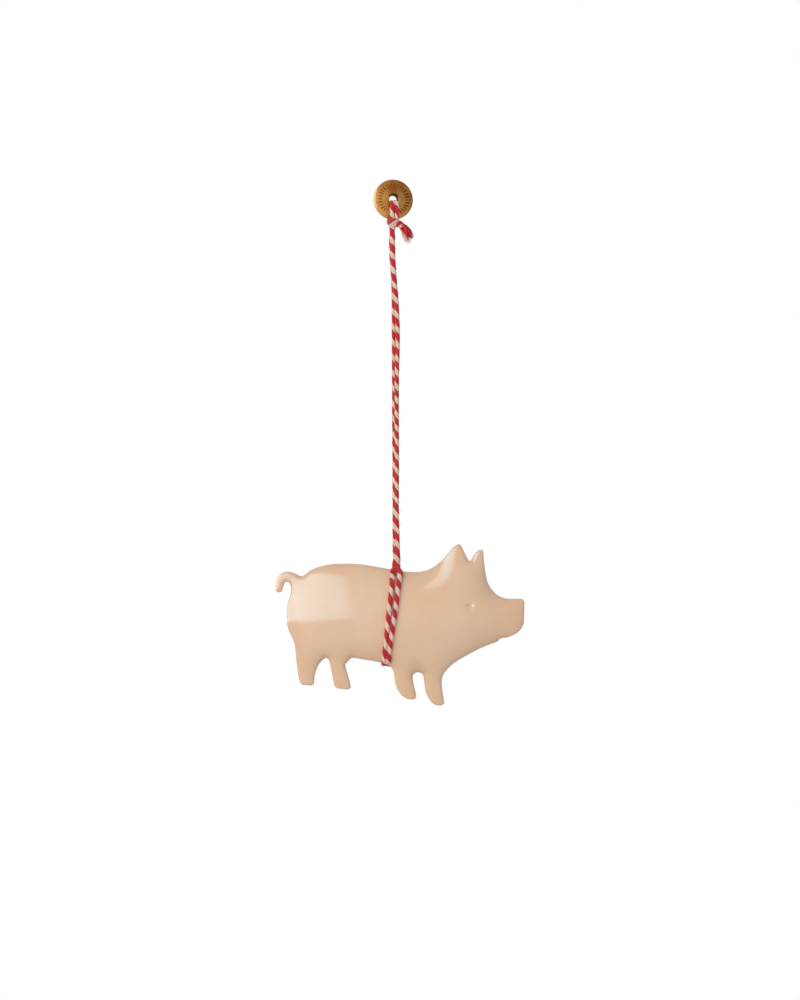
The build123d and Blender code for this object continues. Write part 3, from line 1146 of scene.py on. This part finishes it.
def makeTicks(s):
    # plain marks round both faces, stamped as small notches
    draw = random.Random(s["tickSeed"])
    parts = []
    for face in (-1, 1):
        for step in range(s["ticks"]):
            angle = 2 * math.pi * (step + draw.uniform(-s["tickStray"], s["tickStray"])) / s["ticks"]
            deep = s["tickDeep"] * draw.uniform(*s["tickVary"])
            bpy.ops.mesh.primitive_cube_add(size=1)
            tick = bpy.context.object
            side = deep * math.sqrt(2) * mm
            tick.scale = (s["tickLong"] * mm, side, side)
            reach = s["tickAt"] * mm
            tick.location = (reach * math.cos(angle), face * s["thick"] / 2 * mm, reach * math.sin(angle))
            tick.rotation_euler = (math.pi / 4, -angle, 0)
            parts.append(tick)
    bpy.ops.object.select_all(action="DESELECT")
    for tick in parts:
        tick.select_set(True)
    bpy.context.view_layer.objects.active = parts[0]
    bpy.ops.object.join()
    bpy.ops.object.transform_apply(location=True, rotation=True, scale=True)
    return bpy.context.object


def dressDisc(s):
    disc = makeDisc(s)
    ticks = makeTicks(s)
    disc.data.materials.append(oldBrass(s, "oldBrass", 0.0))
    ticks.data.materials.clear()
    ticks.data.materials.append(oldBrass(s, "oldBrassStamped", s["tickDark"]))
    cut = disc.modifiers.new("stamped", "BOOLEAN")
    cut.operation = "DIFFERENCE"
    cut.object = ticks
    cut.solver = "EXACT"
    cut.material_mode = "TRANSFER"
    applyAll(disc)
    bpy.data.objects.remove(ticks)
    layer = disc.data.attributes.new("reach", "FLOAT", "POINT")
    layer.data.foreach_set("value", [math.hypot(vert.co.x, vert.co.z) for vert in disc.data.vertices])
    disc.data.transform(Matrix.Rotation(discYaw, 4, "Z"))
    smooth(disc, s["smoothDegrees"])
    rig.replaces(disc, "brass_disc")
    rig.slot(disc, "brass")
    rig.ride(disc, "disc")
    return disc


disc = dressDisc(discSet)
print("disc made,", len(disc.data.polygons), "faces")


# Eye, knot and frayed end
knotSet = {
    "eyeRadius": 0.74,
    "wrapRadius": 0.84,
    "tailRadius": 1.05,
    "tailLead": 1.8,
    "tailTurn": 3.6,
    "eyes": {
        "eyeStrandLeft": {
            "route": [(-0.72, 1.4, -7.2), (-0.78, 1.7, -5.2), (-0.76, 1.6, -2.4), (-0.56, 1.5, -0.9),
                      (-0.5, 0.0, -0.45), (-0.56, -1.5, -0.9), (-0.76, -1.6, -2.4),
                      (-0.75, -1.7, -5.2), (-0.55, -1.4, -7.2)],
            "redAt": (-0.76, -1.6, -2.3),
        },
        "eyeStrandRight": {
            "route": [(0.72, 1.4, -7.2), (0.78, 1.7, -5.2), (0.76, 1.6, -2.4), (0.56, 1.5, -0.9),
                      (0.5, 0.0, -0.5), (0.56, -1.5, -1.0), (0.76, -1.6, -2.4),
                      (0.7, -1.7, -5.2), (0.3, -1.4, -7.2)],
            "redAt": (0.78, -1.7, -3.5),
        },
    },
    "wrapRoute": [(1.3, 0.2, -7.4), (1.3, 1.4, -7.3), (0.6, 2.4, -7.1), (-0.6, 2.4, -6.9), (-1.2, 1.2, -6.75),
                  (-1.15, -0.2, -6.65), (-1.05, -1.3, -6.65), (-0.6, -2.2, -6.75), (0.2, -2.45, -6.8),
                  (0.9, -2.0, -6.65), (1.1, -1.0, -6.6)],
    "wrapRed": (-0.7, -2.2, -6.7),
    "wrapOut": (-0.2, -1, 0.4),  # where its red ply faces there
    "tailRoute": [(0.2, -0.7, -7.3), (0.9, -1.3, -7.25), (1.7, -1.6, -7.4), (2.5, -1.7, -8.0),
                  (3.0, -1.7, -8.6)],
    "tufts": [
        {"route": [(2.3, -1.8, -7.9), (3.4, -1.9, -8.6), (4.7, -1.9, -10.3), (5.6, -1.8, -12.4)],
         "fibres": 52, "narrow": 0.75, "wide": 1.25, "thick": (0.15, 0.24), "mark": 0.12},
        {"route": [(2.3, -1.4, -8.6), (3.0, -1.4, -9.9), (4.0, -1.4, -11.9), (4.9, -1.4, -13.5)],
         "fibres": 44, "narrow": 0.5, "wide": 1.0, "thick": (0.05, 0.09), "mark": 0.39},
    ],
    "apart": 0.15,  # mm between rings, at least
    "squeeze": 0.24,  # thinner by this in the disc's hole
    "squeezeFrom": (1.9, 1.1),  # from the hole's middle
    "seeds": {"eyes": 20, "wrap": 30, "tufts": 40},
    "looseLine": (20, 0.05),  # steps of a tuft's line, and mm between its points
    "loosePoints": 10,  # of one fibre
    "looseSides": 6,
    "looseSway": 0.9,
    "looseEnds": (0.72, 1.0),
    "loosePace": 1.6,  # how soon the fibres are spread
    "looseCurl": (0.25, 7),  # size and pace
    "looseStray": 0.06,  # of the colour's mark
    "looseGrain": 40,  # how far apart their grain may be
}


def turned(place):
    return tuple(Matrix.Rotation(discYaw, 3, "Z") @ Vector(place))


def steady(size):
    return lambda point: size


def squeezed(point):
    return knotSet["eyeRadius"] - knotSet["squeeze"] * ease(point.length / mm, *knotSet["squeezeFrom"])


def knotLine(route, across):
    return carried(lineThrough(route, twineSet["steps"], knotSet["apart"]), across)


def looseEnd(parts, tuft, s, seed):
    # fibres of one ply, which spread and end raggedly
    draw = random.Random(seed)
    rows = carried(lineThrough(tuft["route"], *s["looseLine"]), (0, 1, 0))
    curl, pace = s["looseCurl"]
    for _ in range(tuft["fibres"]):
        out = math.sqrt(draw.random())
        angle = draw.uniform(0, 2 * math.pi)
        sway = draw.uniform(-s["looseSway"], s["looseSway"])
        end = draw.uniform(*s["looseEnds"])
        path = []
        for step in range(s["loosePoints"]):
            share = end * step / (s["loosePoints"] - 1)
            point, along, side = rows[int(share * (len(rows) - 1))][:3]
            opened = math.sin(math.pi / 2 * min(s["loosePace"] * share, 1))
            spread = tuft["narrow"] + (tuft["wide"] - tuft["narrow"]) * opened
            turn = angle + sway * share + curl * math.sin(pace * share + angle)
            outward = side * math.cos(turn) + along.cross(side) * math.sin(turn)
            path.append(point + out * spread * mm * outward)
        thick = draw.uniform(*tuft["thick"])
        mark = tuft["mark"] + draw.uniform(-s["looseStray"], s["looseStray"])
        fibre(parts, path, thick, s["looseSides"], (mark, draw.uniform(0, s["looseGrain"])))


def makeKnot(s):
    pieces = []
    lead = twineSet["lead"]
    for number, (name, eye) in enumerate(s["eyes"].items()):
        rows = knotLine([turned(place) for place in eye["route"]], (1, 0, 0))
        start = redTowards(rows, turned(eye["redAt"]), (0, -1, 0), lead)
        pieces.append(makeTwine(name, rows, squeezed, start, s["seeds"]["eyes"] + number))
    rows = knotLine(s["wrapRoute"], (0, 0, 1))
    start = redTowards(rows, s["wrapRed"], s["wrapOut"], lead)
    pieces.append(makeTwine("knotWrap", rows, steady(s["wrapRadius"]), start, s["seeds"]["wrap"]))
    rows = knotLine(s["tailRoute"], (0, 1, 0))
    tail = newParts()
    laidTube(tail, rows, steady(s["tailRadius"]), s["tailTurn"], s["tailLead"])
    for number, tuft in enumerate(s["tufts"]):
        looseEnd(tail, tuft, s, s["seeds"]["tufts"] + number)
    pieces.append(twinePiece("tailTwine", tail, cotton))
    for piece, node in zip(pieces, ("twine_eye_left", "twine_eye_right", "twine_knot", "twine_tail")):
        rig.replaces(piece, node)
        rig.ride(piece, "eye")
    return pieces


knotPieces = makeKnot(knotSet)
print("knot made")


cordSet = {"stiffness": "limp", "lay": "taut", "far_end": "object"}
for name in names:
    path = lines[name]
    length = sum((after - before).length for before, after in zip(path, path[1:]))
    thick = 2 * tension(path[len(path) // 2]) * mm
    withPieces = knotPieces if name == "frontStrandTop" else []
    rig.cord(twine[name], exit=path[0], length=length, diameter=thick, path=path,
            with_pieces=withPieces, **cordSet)
print("cords declared")


# Stage and light
stageSet = {
    "floorHigh": -0.30,
    "floorWide": 6.0,
    "floorPaint": (0.88, 0.88, 0.88, 1),
    "white": (1, 1, 1, 1),
    "fade": (0.07, 0.2),  # metres from the middle over which the floor goes white
    "worldLight": 0.39,
    "glowFade": (0.3, 1.0),  # shares of the glow's width over which it fades
    "glowLow": 0.48,  # of its strength, left at the faded edge
}
panelSet = {"size": (0.94, 1.065), "colour": (0.97, 1.0, 1.03)}
lampSet = {
    "key": {"at": (-0.488, -0.696, 0.2825), "power": 8.04, "leaves": "glossy", **panelSet},
    # the key as the gloss mirrors it, a little in front
    "glow": {"at": (-0.487, -0.695, 0.2825), "power": 9.0, "leaves": "diffuse", **panelSet},
    # carries that reflection round to the side
    "wing": {"at": (-0.849, 0.044, 0.2825), "power": 9.0, "leaves": "diffuse", **panelSet},
    "fill": {"at": (0.9, -0.7, 0.2), "power": 1.6, "leaves": "glossy",
             "size": (0.8, 0.8), "colour": (1, 1, 1)},
}


def seenRays(tree):
    # 1 for what the camera sees, also mirrored or through something
    ray = addNode(tree, "ShaderNodeLightPath")
    seen = mathNode(tree, "MAXIMUM", ray.outputs["Is Camera Ray"], ray.outputs["Is Glossy Ray"])
    return mathNode(tree, "MAXIMUM", seen, ray.outputs["Is Transmission Ray"])


def makeStage(s):
    bpy.ops.mesh.primitive_plane_add(size=s["floorWide"], location=(0, 0, s["floorHigh"]))
    floor = bpy.context.object
    floor.name = "floor"
    material = bpy.data.materials.new("paleFloor")
    material.use_nodes = True
    tree = material.node_tree
    tree.nodes.clear()
    place = addNode(tree, "ShaderNodeTexCoord").outputs["Object"]
    away = addNode(tree, "ShaderNodeVectorMath", {"operation": "LENGTH"})
    plug(tree, place, away.inputs[0])
    fade = ramp(tree, away.outputs["Value"], *s["fade"])
    paint = addNode(tree, "ShaderNodeBsdfDiffuse", Color=s["floorPaint"])
    white = addNode(tree, "ShaderNodeEmission", Color=s["white"], Strength=1.0)
    mix = addNode(tree, "ShaderNodeMixShader", Fac=mathNode(tree, "MULTIPLY", seenRays(tree), fade))
    tree.links.new(paint.outputs[0], mix.inputs[1])
    tree.links.new(white.outputs[0], mix.inputs[2])
    out = addNode(tree, "ShaderNodeOutputMaterial")
    tree.links.new(mix.outputs[0], out.inputs[0])
    floor.data.materials.append(material)
    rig.stage(floor)


def makeWorld(s):
    world = bpy.data.worlds.new("whiteRoom")
    scene.world = world
    world.use_nodes = True
    tree = world.node_tree
    back = tree.nodes["Background"]
    back.inputs["Color"].default_value = s["white"]
    level = mathNode(tree, "MULTIPLY_ADD", seenRays(tree), 1 - s["worldLight"], s["worldLight"])
    plug(tree, level, back.inputs["Strength"])


def softbox(name, s):
    # an upright panel that faces the hanging line, and leaves out one kind of ray
    inward = Vector((-s["at"][0], -s["at"][1], 0))
    bpy.ops.object.light_add(type="AREA", location=s["at"])
    lamp = bpy.context.object
    lamp.name = name
    lamp.data.shape = "RECTANGLE"
    lamp.data.size, lamp.data.size_y = s["size"]
    lamp.data.energy = s["power"]
    lamp.data.color = s["colour"]
    lamp.rotation_euler = inward.to_track_quat("-Z", "Y").to_euler()
    lamp.visible_camera = False
    setattr(lamp, "visible_" + s["leaves"], False)
    return lamp


def fadeAcross(lamp, s):
    lamp.data.use_nodes = True
    tree = lamp.data.node_tree
    place = addNode(tree, "ShaderNodeNewGeometry").outputs["Parametric"]
    across = addNode(tree, "ShaderNodeSeparateXYZ", Vector=place).outputs["X"]
    faded = ramp(tree, across, *s["glowFade"])
    level = mathNode(tree, "MULTIPLY_ADD", faded, s["glowLow"] - 1, 1.0)
    plug(tree, level, tree.nodes["Emission"].inputs["Strength"])


makeStage(stageSet)
makeWorld(stageSet)
lamps = {name: softbox(name + "Box", values) for name, values in lampSet.items()}
fadeAcross(lamps["glow"], stageSet)
scene.view_settings.view_transform = "Standard"
print("stage set")

boxes = {"cad": cadBox, "visual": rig.bounds()}
plain = {name: [[round(value, 6) for value in corner] for corner in box] for name, box in boxes.items()}
with open("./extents.json", "w") as out:
    json.dump(plain, out)
